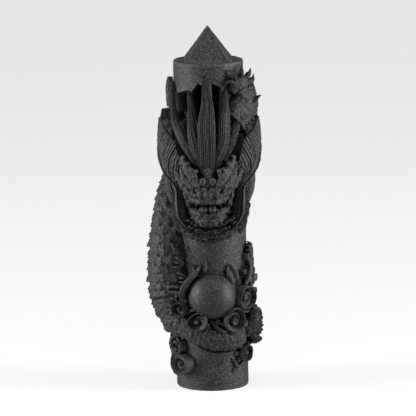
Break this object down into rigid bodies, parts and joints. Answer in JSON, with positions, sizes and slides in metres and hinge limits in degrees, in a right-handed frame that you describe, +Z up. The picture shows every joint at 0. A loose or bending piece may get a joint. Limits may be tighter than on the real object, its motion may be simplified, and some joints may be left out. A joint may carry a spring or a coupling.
{
  "type": "ink stick",
  "caption": "Round column ink stick with a four-sided point, carved in high relief with a dragon, its pearl and clouds.",
  "frame": {"origin": "centre of the column's round base face, on the column's axis", "axes": "+Z up the column's axis to the point, -Y towards the dragon's face, +X to the right of someone who faces it"},
  "size_m": [0.0543, 0.0561, 0.18],
  "materials": {
    "ink_plain": "matt, fine light specks",
    "ink_polished": "matt, rubbed smooth",
    "ink_scale": "matt, edges rubbed lighter",
    "ink_hair": "matt, fine grooves",
    "ink_cloud": "matt, fine light specks"
  },
  "bodies": {
    "root": {"ink_shaft": "ink_plain", "pyramid_tip": "ink_plain", "pearl": "ink_polished", "pearl_flame": "ink_cloud", "leaf_sprig": "ink_cloud", "neck_coil": "ink_scale", "back_coil": "ink_scale", "flank_coil": "ink_scale", "lower_coil": "ink_scale", "tail_fan": "ink_cloud", "dorsal_fins": "ink_scale", "skull": "ink_scale", "muzzle": "ink_scale", "lower_jaw": "ink_scale", "tongue": "ink_scale", "upper_teeth": "ink_scale", "lower_teeth": "ink_scale", "brow_left": "ink_scale", "brow_right": "ink_scale", "eye_left": "ink_scale", "eye_right": "ink_scale", "cheek_left": "ink_scale", "cheek_right": "ink_scale", "ear_left": "ink_hair", "ear_right": "ink_hair", "ruff_left": "ink_hair", "ruff_right": "ink_hair", "ruff_lobe_left": "ink_hair", "ruff_lobe_right": "ink_hair", "mane_centre": "ink_hair", "mane_left": "ink_hair", "mane_right": "ink_hair", "mane_outer_left": "ink_hair", "mane_outer_right": "ink_hair", "mane_spike_left": "ink_hair", "beard_curls": "ink_hair", "forearm": "ink_scale", "forefoot": "ink_scale", "back_forearm": "ink_scale", "back_forefoot": "ink_scale", "hind_leg": "ink_scale", "hind_foot": "ink_scale", "cloud_left": "ink_cloud", "cloud_front_left": "ink_cloud", "cloud_front_right": "ink_cloud", "cloud_right": "ink_cloud", "cloud_base_left": "ink_cloud", "cloud_base_right": "ink_cloud", "cloud_back_upper": "ink_cloud", "cloud_back_lower": "ink_cloud"}
  },
  "joints": []
}
